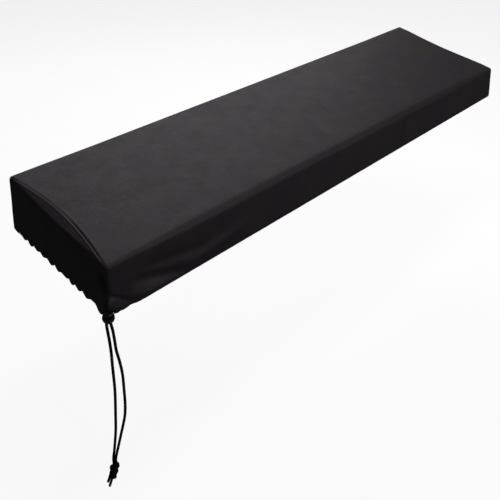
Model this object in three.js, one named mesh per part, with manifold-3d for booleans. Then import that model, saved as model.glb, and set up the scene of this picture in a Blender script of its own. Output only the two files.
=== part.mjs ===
// A fitted dust cover for a digital piano: stretch cloth over the top, front and back,
// a panel sewn in at each end, a gathered hem turned under with a drawstring in it,
// and a spring cord lock and a knot on the drawstring at the front left corner.
// Millimetres. +X to the right, +Y to the back, +Z up.
// The origin is under the middle of the top, where the piano holds the cover up.

import * as THREE from "three";
import { mergeVertices } from "three/addons/utils/BufferGeometryUtils.js";
import Module from "manifold-3d";

const wasm = await Module();
wasm.setup();

// ---------------------------------------------------------------- cover, driving sizes
const LENGTH = 1338;
const DEPTH = 331;
const CLOTH = 1.6;
const NOMINAL_HEIGHT = 110;
const TOP_HEIGHTS = { frontLeft: 98, frontRight: 89, backLeft: 129, backRight: 136 };
const FOOT_HEIGHTS = { frontLeft: -7, frontRight: 0.5, backLeft: 3, backRight: 0 };
const FLARE = { left: 9.5, right: 3.3, front: 9, back: 4.5 };
const CROWN = 3;

// radii of the soft edges
const CORNER_RADIUS = 7;
const FRONT_ROLL = 14;
const BACK_ROLL = 10;
const END_ROLL = 3;
const FOLD_RADIUS = 5;
// how far from an end the long edges reach their full radius
const ROLL_REACH = 220;

// the turned-under hem
const LIP = 38;
const LIP_AT_TIE = 31;
const LIP_DROOP = THREE.MathUtils.degToRad(6);
const LIP_DROOP_AT_TIE = THREE.MathUtils.degToRad(75);
const TIE_REACH = 45;
const TIE_LIFT = 33;
const TIE_LIFT_REACH = 34;
const TIE_ROLL = 12;
const TIE_ROLL_GAP = 16;
const TIE_SAG = { from: 24, width: 12, drop: 9, full: 12 };
// the end's gathers die away towards the tie
const TIE_CALM = 40;
const LIFT_HEIGHT = 90;

// seams
const SEAM_GAP = 0.6;
const SEAM_BOW = 19.5;
const SEAM_BOW_POWER = 0.9;
// how far the end panel falls away from its seam to the top of the end wall
const SHOULDER_DROP = 9;
// the hem's two ends stand apart at the tie: how far each stands back, and over which
// shares of the lip's depth the gap opens
const MOUTH_RETREAT = { main: 7.5, end: 13.5 };
const MOUTH_FROM = 0.56;
const MOUTH_FULL = 0.74;

// gathers of the drawn-in hem
const END_COLUMNS = 26;
const END_GATHER = { out: 2.6, rise: 3.6, wallFade: 16, lip: 3 };
const LONG_GATHER_LIP = 3;

// columns of the main panel, from the left end; each column is half a gather of the hem
const COLUMN_ZONES = [
  { length: 60, step: 10 },
  { length: 180, step: 15 },
  { length: 1038, step: 45.1 },
  { length: 60, step: 15 },
];

// soft folds drawn towards the tie, as lines on a wall: along is from the front left
// corner, up is above the foot, push is outwards
const FOLDS = [
  { wall: "front", along0: 61, up0: 50, along1: 176, up1: 9, push: -6, width: 9 },
  { wall: "front", along0: 82, up0: 68, along1: 220, up1: 43, push: -4, width: 11 },
  { wall: "front", along0: 52, up0: 24, along1: 125, up1: 4, push: 4, width: 10 },
  { wall: "front", along0: 187, up0: 25, along1: 320, up1: 42, push: 4, width: 13 },
  { wall: "front", along0: 4, up0: 27, along1: 46, up1: 10, push: -5, width: 5 },
  { wall: "left", along0: 14, up0: 86, along1: 5, up1: 34, push: -4, width: 6 },
];

// ---------------------------------------------------------------- drawstring, lock, knot
const CORD_DIAMETER = 5.4;
const CORD_SIDES = 8;
const CORD_STEP = 5;

// places at the tie are given as out (away from the corner), side (to the right as seen
// from outside) and z above the foot level
const LOCK_AT = { out: 15, side: -1.6, z: 1.1 };
const LOCK_TURN = THREE.MathUtils.degToRad(12);
const LOCK_RADIUS = 11;
const HOLE_OFFSET = 3.35;
const HOLE_RADIUS = 3.1;
const LOCK_RIM_Z = 3.2;
const BORE_RADIUS = 7.4;
const BORE_FLOOR_Z = -7.2;
const PISTON_RADIUS = 7.1;
const PISTON_FLOOR_Z = -3.8;
const SLOT_HALF_WIDTH = 6.35;
const SLOT_Z = { low: -3, high: 6 };
const CAP = { underside: 6.8, lowRadius: 8.7, highRadius: 7.8, edge: 0.8, rim: 10.6, dish: 1.4 };
const ROUND_STEPS = 24;

// each strand: out of the hem, through the lock, then hanging to the knot
const STRANDS = {
  drawstring_left: [
    { out: -6, side: -5.4, z: -3 },
    { out: -1, side: -5.9, z: -0.8 },
    { out: 1.6, side: -6.8, z: 0.6 },
    { out: 4.5, side: -7.26, z: 1.1 },
    { out: 9.8, side: -6.13, z: 1.1 },
    { out: 20.6, side: -3.84, z: 1.1 },
    { out: 24.4, side: -3.03, z: 1.1 },
    { out: 27.4, side: -2.4, z: 0.6 },
    { out: 30.3, side: -1.9, z: -2.4 },
    { out: 31.4, side: -1.4, z: -10 },
    { out: 30.6, side: -0.7, z: -34 },
    { out: 30.6, side: -0.3, z: -64 },
    { out: 30.6, side: -1.3, z: -100 },
    { out: 30.6, side: -2.9, z: -163 },
    { out: 30.6, side: -8.0, z: -231 },
    { out: 30.6, side: -11.7, z: -274 },
    { out: 30.6, side: -15.6, z: -304 },
    { out: 30.6, side: -20.4, z: -337 },
    { out: 30.6, side: -24.2, z: -360 },
    { out: 30.6, side: -25.0, z: -376.6 },
  ],
  drawstring_right: [
    { out: -6, side: 1.0, z: -3 },
    { out: -1, side: 0.4, z: -0.8 },
    { out: 0.8, side: -0.3, z: 0.5 },
    { out: 3.2, side: -0.68, z: 1.1 },
    { out: 8.4, side: 0.43, z: 1.1 },
    { out: 19.2, side: 2.72, z: 1.1 },
    { out: 23.1, side: 3.55, z: 1.1 },
    { out: 26.4, side: 4.4, z: 0.6 },
    { out: 29.9, side: 5.9, z: -2.4 },
    { out: 31.4, side: 7.5, z: -10 },
    { out: 30.7, side: 8.4, z: -34 },
    { out: 30.6, side: 9.1, z: -60 },
    { out: 30.6, side: 12.2, z: -86 },
    { out: 30.6, side: 14.6, z: -118 },
    { out: 30.6, side: 14.0, z: -159 },
    { out: 30.6, side: 12.6, z: -200 },
    { out: 30.6, side: 9.6, z: -230 },
    { out: 30.6, side: 4.2, z: -257 },
    { out: 30.6, side: -3.2, z: -289 },
    { out: 31.0, side: -9.6, z: -317 },
    { out: 31.9, side: -15.0, z: -340 },
    { out: 32.8, side: -18.9, z: -360 },
    { out: 33.0, side: -19.7, z: -378.6 },
  ],
};

// the overhand knot as lobes about its middle, with the two cut ends below it
const KNOT_AT = { out: 30.6, side: -26, z: -400 };
const KNOT_LOBES = [
  { side: 6.2, up: 13.5, across: 5.8, tall: 7.5 },
  { side: -1.5, up: 11, across: 7.5, tall: 12 },
  { side: -4.6, up: -5, across: 6.6, tall: 12 },
  { side: 1.4, up: -7, across: 5.8, tall: 11 },
  { side: -2.4, up: -17, across: 5, tall: 7.5 },
];
const KNOT_DEPTH_SHARE = 0.85;
const TAILS = [
  [
    { side: -9.5, up: -14 },
    { side: -12.8, up: -26 },
    { side: -16.4, up: -37.5 },
  ],
  [
    { side: -4.6, up: -14 },
    { side: -7.8, up: -28 },
    { side: -14.4, up: -51.5 },
  ],
];

// ---------------------------------------------------------------- small helpers
const clamp = THREE.MathUtils.clamp;
const lerp = THREE.MathUtils.lerp;
const smooth = (x, low, high) => THREE.MathUtils.smoothstep(x, low, high);
const bell = (x, width) => Math.exp(-((x / width) ** 2));

// a value given at the four corners, between them by straight lines
function acrossCorners(table, u, v) {
  const front = lerp(table.frontLeft, table.frontRight, u);
  const back = lerp(table.backLeft, table.backRight, u);
  return lerp(front, back, v);
}

const TOP_AT_MIDDLE = acrossCorners(TOP_HEIGHTS, 0.5, 0.5) + CROWN;
const ORIGIN = new THREE.Vector3(LENGTH / 2, DEPTH / 2, TOP_AT_MIDDLE - CLOTH);

// ---------------------------------------------------------------- shape of the cover
// Points are first laid on a sharp box (x from the left end, y from the front, z up from
// the foot, NOMINAL_HEIGHT tall), whose underside carries the turned-under lip. They are
// then rounded over the soft edges and moved by the fields below.

function endRoll(y) {
  return lerp(CORNER_RADIUS, END_ROLL, Math.sin((Math.PI * clamp(y, 0, DEPTH)) / DEPTH));
}

function longRoll(x, y) {
  const fromEnd = Math.min(x, LENGTH - x);
  const full = y < DEPTH / 2 ? FRONT_ROLL : BACK_ROLL;
  return lerp(CORNER_RADIUS, full, smooth(fromEnd, 0, ROLL_REACH));
}

// how far the seam over the end stands in from the end, at a depth y
function seamInset(y) {
  return SEAM_BOW * Math.sin((Math.PI * clamp(y, 0, DEPTH)) / DEPTH) ** SEAM_BOW_POWER;
}

function roundOver(p) {
  const low = smooth(p.z, 0.35 * NOMINAL_HEIGHT, 0.6 * NOMINAL_HEIGHT);
  const rx = lerp(FOLD_RADIUS, endRoll(p.y), low);
  const ry = lerp(FOLD_RADIUS, longRoll(p.x, p.y), low);
  const topRoll = Math.max(endRoll(p.y) * nearEnd(p), longRoll(p.x, p.y));
  const rz = p.z > NOMINAL_HEIGHT / 2 ? topRoll : FOLD_RADIUS;
  const q = new THREE.Vector3(
    clamp(p.x, rx, LENGTH - rx),
    clamp(p.y, ry, DEPTH - ry),
    clamp(p.z, FOLD_RADIUS, NOMINAL_HEIGHT - rz),
  );
  const normal = new THREE.Vector3((p.x - q.x) / rx, (p.y - q.y) / ry, (p.z - q.z) / rz);
  normal.normalize();
  const at = new THREE.Vector3(q.x + rx * normal.x, q.y + ry * normal.y, q.z + rz * normal.z);
  return { at, normal };
}

// 1 over the end rolls, 0 along the middle of the long edges
function nearEnd(p) {
  const fromEnd = Math.min(p.x, LENGTH - p.x);
  return 1 - smooth(fromEnd, END_ROLL, 3 * END_ROLL);
}

function columnPlaces() {
  const places = [0];
  let from = 0;
  for (const zone of COLUMN_ZONES) {
    const count = Math.round(zone.length / zone.step);
    for (let i = 1; i <= count; i++) {
      places.push(from + (zone.length * i) / count);
    }
    from += zone.length;
  }
  return places;
}

const COLUMNS = columnPlaces();

// number of the column at x, counting on between columns
function columnNumber(x) {
  const inside = clamp(x, 0, LENGTH);
  let i = 1;
  while (i < COLUMNS.length - 1 && COLUMNS[i] < inside) {
    i++;
  }
  return i - 1 + (inside - COLUMNS[i - 1]) / (COLUMNS[i] - COLUMNS[i - 1]);
}

// the drawn-in hem's waves, -1 to 1, uneven in strength
function longWave(x) {
  const strength = 0.75 + 0.25 * Math.sin(x / 37);
  return strength * Math.cos(Math.PI * columnNumber(x));
}

function endWave(y) {
  const strength = 0.75 + 0.3 * Math.sin(y / 14 + 1) + 0.2 * Math.sin(y / 8.5);
  return strength * Math.cos((Math.PI * END_COLUMNS * y) / DEPTH);
}

function distanceToLine(along, up, fold) {
  const a = fold.along1 - fold.along0;
  const u = fold.up1 - fold.up0;
  const share = clamp(((along - fold.along0) * a + (up - fold.up0) * u) / (a * a + u * u), 0, 1);
  return Math.hypot(along - fold.along0 - share * a, up - fold.up0 - share * u);
}

function foldPush(wall, along, up) {
  let push = 0;
  for (const fold of FOLDS) {
    if (fold.wall === wall) {
      push += fold.push * bell(distanceToLine(along, up, fold), fold.width);
    }
  }
  return push;
}

// a point on the sharp box, to its place and its outward direction on the cover
function onCover(p) {
  const { at, normal } = roundOver(p);
  const u = clamp(at.x / LENGTH, 0, 1);
  const v = clamp(at.y / DEPTH, 0, 1);
  const up = at.z / NOMINAL_HEIGHT;
  const height = at.z;

  const inLeft = Math.max(at.x, 0);
  const inRight = Math.max(LENGTH - at.x, 0);
  const inFront = Math.max(at.y, 0);
  const inBack = Math.max(DEPTH - at.y, 0);
  const fromEnd = Math.min(inLeft, inRight);
  const fromLong = Math.min(inFront, inBack);
  const inward = Math.min(fromEnd, fromLong);
  const onEnd = fromEnd < fromLong;
  const outX = onEnd ? Math.sign(u - 0.5) : 0;
  const outY = onEnd ? 0 : Math.sign(v - 0.5);

  // height, slope and crown
  const foot = acrossCorners(FOOT_HEIGHTS, u, v);
  const top = acrossCorners(TOP_HEIGHTS, u, v);
  at.z = lerp(foot, top, up) + CROWN * 4 * v * (1 - v) * smooth(up, 0.6, 1);
  const inset = seamInset(inFront);
  const pastSeam = inset > 0 ? clamp(1 - fromEnd / inset, 0, 1) : 0;
  at.z -= SHOULDER_DROP * (inset / SEAM_BOW) * pastSeam ** 1.1 * smooth(up, 0.6, 1);

  // walls that stand out a little at the foot
  const spread = 1 - clamp(up, 0, 1);
  const across = 2 * u - 1;
  const along = 2 * v - 1;
  at.x += spread * across * (across < 0 ? FLARE.left : FLARE.right);
  at.y += spread * along * (along < 0 ? FLARE.front : FLARE.back);

  // gathers
  const lipShare = clamp(inward / LIP, 0, 1) * (1 - smooth(height, 3, 12));
  if (onEnd) {
    const calmAtTie = u < 0.5 ? smooth(inFront, TIE_CALM / 2, TIE_CALM) : 1;
    const wave = endWave(at.y) * smooth(fromLong, 0, 20) * calmAtTie;
    const fade = Math.exp(-height / END_GATHER.wallFade) * (1 - lipShare);
    at.x += outX * END_GATHER.out * wave * fade;
    at.z += END_GATHER.rise * wave * fade + END_GATHER.lip * wave * lipShare;
  } else {
    at.z += LONG_GATHER_LIP * longWave(at.x) * lipShare;
  }

  // folds drawn towards the tie
  const wallShare = smooth(height, 1, 8) * (1 - smooth(height, 95, 108));
  if (inFront < 3) {
    at.y -= foldPush("front", inLeft, height) * wallShare * smooth(inLeft, 0, 12);
  } else if (inLeft < 3) {
    at.x -= foldPush("left", inFront, height) * wallShare * smooth(inFront, 2, 10);
  }

  // the corner drawn down to the tie: the wall lifts, the lip turns down and rolls out
  const inTie = Math.min(inLeft, inFront);
  const past = Math.max(inLeft, inFront) - inTie;
  const nearTie = 1 - smooth(inTie, LIP, 2 * LIP);
  const low = nearTie * (1 - smooth(height, 3, 25));
  const lipHere = low * clamp(inTie, 0, LIP);
  const turn = bell(past, TIE_REACH);
  const droop = LIP_DROOP_AT_TIE * turn * nearTie;
  const liftShare = clamp(1 - height / LIFT_HEIGHT, 0, 1) ** 1.5;
  at.z += TIE_LIFT * bell(past, TIE_LIFT_REACH) * liftShare * nearTie;
  const drawnOut = lipHere * (1 - Math.cos(droop));
  const acrossLip = Math.sin(Math.PI * clamp(lipHere / LIP_AT_TIE, 0, 1));
  const roll = TIE_ROLL * turn * (1 - bell(past, TIE_ROLL_GAP)) * acrossLip;
  const sideways = bell(past, TIE_REACH / 2);
  const shareX = inLeft < inFront ? 1 : sideways;
  const shareY = inFront < inLeft ? 1 : sideways;
  at.x -= drawnOut + roll * shareX;
  at.y -= drawnOut + roll * shareY;
  at.z -= lipHere * Math.sin(droop);
  if (onEnd) {
    at.z -= TIE_SAG.drop * bell(past - TIE_SAG.from, TIE_SAG.width) * clamp(lipHere / TIE_SAG.full, 0, 1);
  }
  at.z -= clamp(inward, 0, LIP) * (1 - smooth(height, 3, 12)) * Math.sin(LIP_DROOP);

  // turn the outward direction with the lip
  if (normal.z < 0) {
    const out = new THREE.Vector3(-shareX, -shareY, 0).normalize();
    const underside = -normal.z;
    normal.z -= underside * (Math.cos(droop) - 1);
    normal.addScaledVector(out, underside * Math.sin(droop));
    normal.normalize();
  }
  return { at: at.sub(ORIGIN), normal };
}

// ---------------------------------------------------------------- cloth as closed solids
// rows[i][j] is a point of the outer face with its outward direction, and thicken is how
// far the cloth bulges beyond both of its faces there
function clothSolid(rows) {
  const high = rows.length;
  const wide = rows[0].length;
  const positions = [];
  const indices = [];
  for (const inside of [false, true]) {
    for (const row of rows) {
      for (const { at, normal, thicken } of row) {
        const offset = inside ? -(CLOTH + thicken) : thicken;
        positions.push(...at.clone().addScaledVector(normal, offset).toArray());
      }
    }
  }
  const outer = (i, j) => i * wide + j;
  const inner = (i, j) => high * wide + outer(i, j);
  const quad = (a, b, c, d) => indices.push(a, b, c, a, c, d);
  for (let i = 0; i + 1 < high; i++) {
    for (let j = 0; j + 1 < wide; j++) {
      quad(outer(i, j), outer(i, j + 1), outer(i + 1, j + 1), outer(i + 1, j));
      quad(inner(i, j), inner(i + 1, j), inner(i + 1, j + 1), inner(i, j + 1));
    }
  }
  for (let j = 0; j + 1 < wide; j++) {
    quad(outer(0, j + 1), outer(0, j), inner(0, j), inner(0, j + 1));
    quad(outer(high - 1, j), outer(high - 1, j + 1), inner(high - 1, j + 1), inner(high - 1, j));
  }
  for (let i = 0; i + 1 < high; i++) {
    quad(outer(i, 0), outer(i + 1, 0), inner(i + 1, 0), inner(i, 0));
    quad(outer(i + 1, wide - 1), outer(i, wide - 1), inner(i, wide - 1), inner(i + 1, wide - 1));
  }
  const geometry = new THREE.BufferGeometry();
  geometry.setAttribute("position", new THREE.Float32BufferAttribute(positions, 3));
  geometry.setIndex(indices);
  return geometry;
}

// the lip from its hem out to the fold; share is of the lip's depth
const LIP_ROWS = [
  { share: 1, thicken: 1.2 },
  { share: 0.85, thicken: 2.2 },
  { share: 0.72, thicken: 0 },
  { share: 0.4, thicken: 0 },
];
const ROLL_SHARES = [1, 0.42, 0];
const FRONT_WALL_ROWS = [FOLD_RADIUS, 18, 32, 46, 60, 75];
const BACK_WALL_ROWS = [FOLD_RADIUS, 50];
const END_WALL_ROWS = [FOLD_RADIUS, 22, 42, 62];
const TOP_STEPS = 7;
const END_ROLL_STEPS = 6;

function lipDepth(past) {
  return lerp(LIP, LIP_AT_TIE, bell(past, TIE_REACH));
}

// sharp-box y and z down the main panel at x, from the front hem to the back hem
function mainProfile(x) {
  const profile = [];
  const lip = lipDepth(x);
  const front = longRoll(x, 0);
  const back = longRoll(x, DEPTH);
  for (const { share, thicken } of LIP_ROWS) {
    profile.push({ y: share * lip, z: 0, thicken, lip: share });
  }
  profile.push({ y: FOLD_RADIUS, z: 0 }, { y: 0, z: 0 });
  for (const z of FRONT_WALL_ROWS) {
    profile.push({ y: 0, z });
  }
  for (const share of ROLL_SHARES) {
    profile.push({ y: 0, z: NOMINAL_HEIGHT - share * front });
  }
  profile.push({ y: 0.42 * front, z: NOMINAL_HEIGHT });
  for (let i = 0; i <= TOP_STEPS; i++) {
    profile.push({ y: lerp(front, DEPTH - back, i / TOP_STEPS), z: NOMINAL_HEIGHT });
  }
  profile.push({ y: DEPTH - 0.42 * back, z: NOMINAL_HEIGHT });
  for (const share of ROLL_SHARES.toReversed()) {
    profile.push({ y: DEPTH, z: NOMINAL_HEIGHT - share * back });
  }
  for (const z of BACK_WALL_ROWS.toReversed()) {
    profile.push({ y: DEPTH, z });
  }
  profile.push({ y: DEPTH, z: 0 }, { y: DEPTH - FOLD_RADIUS, z: 0 });
  for (const { share, thicken } of LIP_ROWS.toReversed()) {
    profile.push({ y: DEPTH - share * LIP, z: 0, thicken, lip: share });
  }
  return profile;
}

// where the main panel's left or right seam runs, as a distance in from that end
function seamOfMain(row, left) {
  if (row.z === 0) {
    const depth = Math.min(row.y, DEPTH - row.y);
    const atTie = left && row.y < DEPTH / 2;
    return depth + (atTie ? MOUTH_RETREAT.main * smooth(row.lip ?? 0, MOUTH_FROM, MOUTH_FULL) : 0);
  }
  return row.z === NOMINAL_HEIGHT ? seamInset(row.y) : 0;
}

function mainPanel() {
  const rows = mainProfile(0).map(() => []);
  for (const place of COLUMNS) {
    mainProfile(place).forEach((row, i) => {
      const from = seamOfMain(row, true) + SEAM_GAP / 2;
      const to = LENGTH - seamOfMain(row, false) - SEAM_GAP / 2;
      const x = lerp(from, to, place / LENGTH);
      const { at, normal } = onCover(new THREE.Vector3(x, row.y, row.z));
      rows[i].push({ at, normal, thicken: row.thicken ?? 0 });
    });
  }
  return clothSolid(rows);
}

// an end panel, from its hem up the wall and over the roll to the seam on top
function endPanel(left) {
  const rows = [];
  const addRow = (pointAt, thicken = 0, retreat = 0) => {
    const row = [];
    for (let j = 0; j <= END_COLUMNS; j++) {
      const { inset, y, z, margin } = pointAt(j / END_COLUMNS, retreat);
      const x = left ? inset : LENGTH - inset;
      const inside = clamp(y, margin, DEPTH - SEAM_GAP / 2);
      row.push({ ...onCover(new THREE.Vector3(x, inside, z)), thicken });
    }
    rows.push(left ? row.reverse() : row);
  };
  const lipPoint = (share) => (t, retreat) => {
    const inset = share * (left ? lipDepth(t * DEPTH) : LIP);
    const from = inset + SEAM_GAP / 2 + retreat;
    const to = DEPTH - share * LIP - SEAM_GAP / 2;
    return { inset, y: lerp(from, to, t), z: 0, margin: 0 };
  };
  for (const { share, thicken } of LIP_ROWS) {
    const opened = smooth(share, MOUTH_FROM, MOUTH_FULL);
    addRow(lipPoint(share), thicken, left ? MOUTH_RETREAT.end * opened : 0);
  }
  const wallPoint = (inset, z) => (t) => ({ inset, y: t * DEPTH, z, margin: SEAM_GAP / 2 });
  const foldInset = FOLD_RADIUS + SEAM_GAP / 2;
  addRow((t) => ({ inset: FOLD_RADIUS, y: lerp(foldInset, DEPTH - foldInset, t), z: 0, margin: 0 }));
  addRow(wallPoint(0, 0));
  for (const z of END_WALL_ROWS) {
    addRow(wallPoint(0, z));
  }
  for (let i = 0; i <= END_ROLL_STEPS; i++) {
    const share = i / END_ROLL_STEPS;
    addRow((t) => {
      const y = t * DEPTH;
      const start = NOMINAL_HEIGHT - endRoll(y);
      const path = lerp(start, NOMINAL_HEIGHT + seamInset(y) - SEAM_GAP / 2, share);
      const inset = Math.max(path - NOMINAL_HEIGHT, 0);
      return { inset, y, z: Math.min(path, NOMINAL_HEIGHT), margin: SEAM_GAP / 2 };
    });
  }
  return clothSolid(rows);
}

// ---------------------------------------------------------------- solids and cuts
function toManifold(geometry) {
  const bare = geometry.clone();
  bare.deleteAttribute("normal");
  bare.deleteAttribute("uv");
  const merged = mergeVertices(bare, 1e-4);
  return new wasm.Manifold(new wasm.Mesh({
    numProp: 3,
    vertProperties: new Float32Array(merged.attributes.position.array),
    triVerts: new Uint32Array(merged.index.array),
  }));
}

function fromManifold(solid) {
  const mesh = solid.getMesh();
  const geometry = new THREE.BufferGeometry();
  geometry.setAttribute("position", new THREE.BufferAttribute(mesh.vertProperties, 3));
  geometry.setIndex(new THREE.BufferAttribute(mesh.triVerts, 1));
  return geometry;
}

function turned(profile) {
  const points = profile.map(([r, z]) => new THREE.Vector2(r, z));
  return new THREE.LatheGeometry(points, ROUND_STEPS).rotateX(Math.PI / 2);
}

// ---------------------------------------------------------------- cord lock
// built about its own centre: the button's axis is Z and the cords run along Y
function ballProfile(fromZ, toZ, steps) {
  const profile = [];
  for (let i = 0; i <= steps; i++) {
    const z = lerp(fromZ, toZ, i / steps);
    profile.push([Math.sqrt(Math.max(LOCK_RADIUS ** 2 - z ** 2, 0)), z]);
  }
  return profile;
}

function lockBody() {
  const profile = [
    ...ballProfile(-LOCK_RADIUS, LOCK_RIM_Z, 10),
    [BORE_RADIUS, LOCK_RIM_Z],
    [BORE_RADIUS, BORE_FLOOR_Z],
    [0, BORE_FLOOR_Z],
  ];
  let solid = toManifold(turned(profile));
  for (const side of [-1, 1]) {
    const hole = new THREE.CylinderGeometry(HOLE_RADIUS, HOLE_RADIUS, 3 * LOCK_RADIUS, 12);
    solid = solid.subtract(toManifold(hole.translate(side * HOLE_OFFSET, 0, 0)));
  }
  return fromManifold(solid);
}

function lockButton() {
  const profile = [
    [0, PISTON_FLOOR_Z],
    [PISTON_RADIUS, PISTON_FLOOR_Z],
    [PISTON_RADIUS, CAP.underside],
    [CAP.lowRadius, CAP.underside],
    [CAP.highRadius, CAP.rim - CAP.edge],
    [CAP.highRadius - CAP.edge, CAP.rim],
    [CAP.highRadius / 2, CAP.rim - 0.8 * CAP.dish],
    [0, CAP.rim - CAP.dish],
  ];
  const slot = new THREE.BoxGeometry(2 * SLOT_HALF_WIDTH, 4 * PISTON_RADIUS, SLOT_Z.high - SLOT_Z.low);
  slot.translate(0, 0, (SLOT_Z.high + SLOT_Z.low) / 2);
  return fromManifold(toManifold(turned(profile)).subtract(toManifold(slot)));
}

// ---------------------------------------------------------------- places at the tie
const OUT = new THREE.Vector3(-1, -1, 0).normalize();
const SIDE = new THREE.Vector3(1, -1, 0).normalize();

function atTie({ out, side, z }) {
  return new THREE.Vector3(0, 0, z).addScaledVector(OUT, out).addScaledVector(SIDE, side).sub(ORIGIN);
}

// ---------------------------------------------------------------- cords and knot
function cordAlong(points) {
  const curve = new THREE.CatmullRomCurve3(points, false, "centripetal");
  const section = new THREE.Shape();
  for (let i = 0; i < CORD_SIDES; i++) {
    const angle = (2 * Math.PI * i) / CORD_SIDES;
    const x = (CORD_DIAMETER / 2) * Math.cos(angle);
    const y = (CORD_DIAMETER / 2) * Math.sin(angle);
    if (i === 0) {
      section.moveTo(x, y);
    } else {
      section.lineTo(x, y);
    }
  }
  section.closePath();
  const steps = Math.ceil(curve.getLength() / CORD_STEP);
  return new THREE.ExtrudeGeometry(section, { steps, extrudePath: curve, bevelEnabled: false });
}

function atKnot({ side, up }) {
  return atTie({ out: KNOT_AT.out, side: KNOT_AT.side + side, z: KNOT_AT.z + up });
}

function knot() {
  let solid = null;
  for (const { side, up, across, tall } of KNOT_LOBES) {
    const lobe = new THREE.SphereGeometry(1, 12, 8).rotateX(Math.PI / 2);
    lobe.scale(across, KNOT_DEPTH_SHARE * across, tall);
    lobe.rotateZ(-Math.PI / 4);
    const centre = atKnot({ side, up });
    lobe.translate(centre.x, centre.y, centre.z);
    const piece = toManifold(lobe);
    solid = solid ? solid.add(piece) : piece;
  }
  for (const tail of TAILS) {
    solid = solid.add(toManifold(cordAlong(tail.map(atKnot))));
  }
  return fromManifold(solid);
}

// ---------------------------------------------------------------- assembly
const CLOTH_BLACK = new THREE.MeshStandardMaterial({ color: 0x26232a, roughness: 0.95, metalness: 0 });
const CORD_BLACK = new THREE.MeshStandardMaterial({ color: 0x141416, roughness: 0.85, metalness: 0 });
const LOCK_BLACK = new THREE.MeshStandardMaterial({ color: 0x1b1b1d, roughness: 0.5, metalness: 0 });

function named(name, geometry, material) {
  const mesh = new THREE.Mesh(geometry, material);
  mesh.name = name;
  return mesh;
}

const cover = new THREE.Group();
cover.add(named("main_panel", mainPanel(), CLOTH_BLACK));
cover.add(named("end_left", endPanel(true), CLOTH_BLACK.clone()));
cover.add(named("end_right", endPanel(false), CLOTH_BLACK.clone()));

const lock = new THREE.Group();
lock.position.copy(atTie(LOCK_AT));
lock.rotation.z = LOCK_TURN - Math.PI / 4;
lock.add(named("lock_body", lockBody(), LOCK_BLACK));
lock.add(named("lock_button", lockButton(), LOCK_BLACK));
cover.add(lock);

for (const [name, places] of Object.entries(STRANDS)) {
  cover.add(named(name, cordAlong(places.map(atTie)), CORD_BLACK));
}
cover.add(named("drawstring_knot", knot(), CORD_BLACK));

export default cover;
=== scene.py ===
"""A stretch-cloth dust cover for a digital piano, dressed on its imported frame.

Sizes are in millimetres in the shape functions and become metres where a mesh is made.
+X runs to the right, +Y to the back, +Z up; the origin is under the middle of the top.
"""

import math

import bmesh
import bpy
import numpy as np
from mathutils import Matrix, Vector


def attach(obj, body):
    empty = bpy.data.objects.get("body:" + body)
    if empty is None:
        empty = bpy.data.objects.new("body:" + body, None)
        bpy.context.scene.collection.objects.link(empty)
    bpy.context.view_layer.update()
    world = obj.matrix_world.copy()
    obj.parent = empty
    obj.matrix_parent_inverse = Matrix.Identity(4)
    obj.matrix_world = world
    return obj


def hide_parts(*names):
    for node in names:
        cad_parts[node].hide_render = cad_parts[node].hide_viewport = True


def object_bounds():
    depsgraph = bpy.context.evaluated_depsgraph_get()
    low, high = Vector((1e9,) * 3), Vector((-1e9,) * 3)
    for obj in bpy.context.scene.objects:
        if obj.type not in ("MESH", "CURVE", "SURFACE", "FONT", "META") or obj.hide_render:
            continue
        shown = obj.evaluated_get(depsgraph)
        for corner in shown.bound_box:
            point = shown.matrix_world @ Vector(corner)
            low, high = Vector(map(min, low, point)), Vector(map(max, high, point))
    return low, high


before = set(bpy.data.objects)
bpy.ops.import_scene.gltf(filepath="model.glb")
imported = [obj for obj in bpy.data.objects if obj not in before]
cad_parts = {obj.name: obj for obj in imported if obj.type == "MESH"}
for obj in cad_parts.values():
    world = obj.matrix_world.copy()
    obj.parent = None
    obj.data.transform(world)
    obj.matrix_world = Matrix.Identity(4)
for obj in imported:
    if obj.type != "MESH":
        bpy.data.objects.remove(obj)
CAD_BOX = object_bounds()

MM = 0.001

# ---- cover, driving sizes
LENGTH = 1338.0
DEPTH = 331.0
CLOTH = 1.6
NOMINAL_HEIGHT = 110.0
TOP_HEIGHTS = {"front_left": 98, "front_right": 89, "back_left": 129, "back_right": 136}
FOOT_HEIGHTS = {"front_left": -7, "front_right": 0.5, "back_left": 3, "back_right": 0}
FLARE = {"left": 9.5, "right": 3.3, "front": 9.0, "back": 4.5}
CROWN = 3.0

# shares of the height: over the first the top's own shape comes in, over the second the
# foot's radius becomes the corner's
TOP_BLEND = (0.6, 1.0)
CORNER_BLEND = (0.35, 0.6)

# radii of the soft edges; the long edges' rolls grow from the corners over ROLL_REACH
CORNER_RADIUS = 7.0
FRONT_ROLL = 14.0
BACK_ROLL = 10.0
END_ROLL = 3.0
FOLD_RADIUS = 5.0
ROLL_REACH = 220.0

# the turned-under hem; the blend is the height above the foot over which its moves end
LIP = 38.0
LIP_DROOP = math.radians(6)
LIP_BLEND = (3.0, 12.0)

# the corner at the tie: the wall lifts, and the lip is shallower, turns down and rolls out
LIP_AT_TIE = 31.0
LIP_DROOP_AT_TIE = math.radians(75)
TIE_REACH = 45.0
TIE_BLEND = (3.0, 25.0)
TIE_LIFT = 33.0
TIE_LIFT_REACH = 34.0
LIFT_HEIGHT = 90.0
LIFT_POWER = 1.5
TIE_ROLL = 12.0
TIE_ROLL_GAP = 16.0
# beside the tie the end's lip sags, and over the lock a band of both lips rolls out
TIE_SAG = {"from": 21.0, "width": 13.0, "drop": 12.0, "full": 12.0}
TIE_BAND = {"out": 3.0, "width": 18.0, "share": 0.62}
# the gathers stop this near to the tie, and the foot of its corner is rounder
TIE_CALM = 40.0
TIE_CORNER = {"radius": 16.0, "near": 25.0, "far": 70.0}

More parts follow.
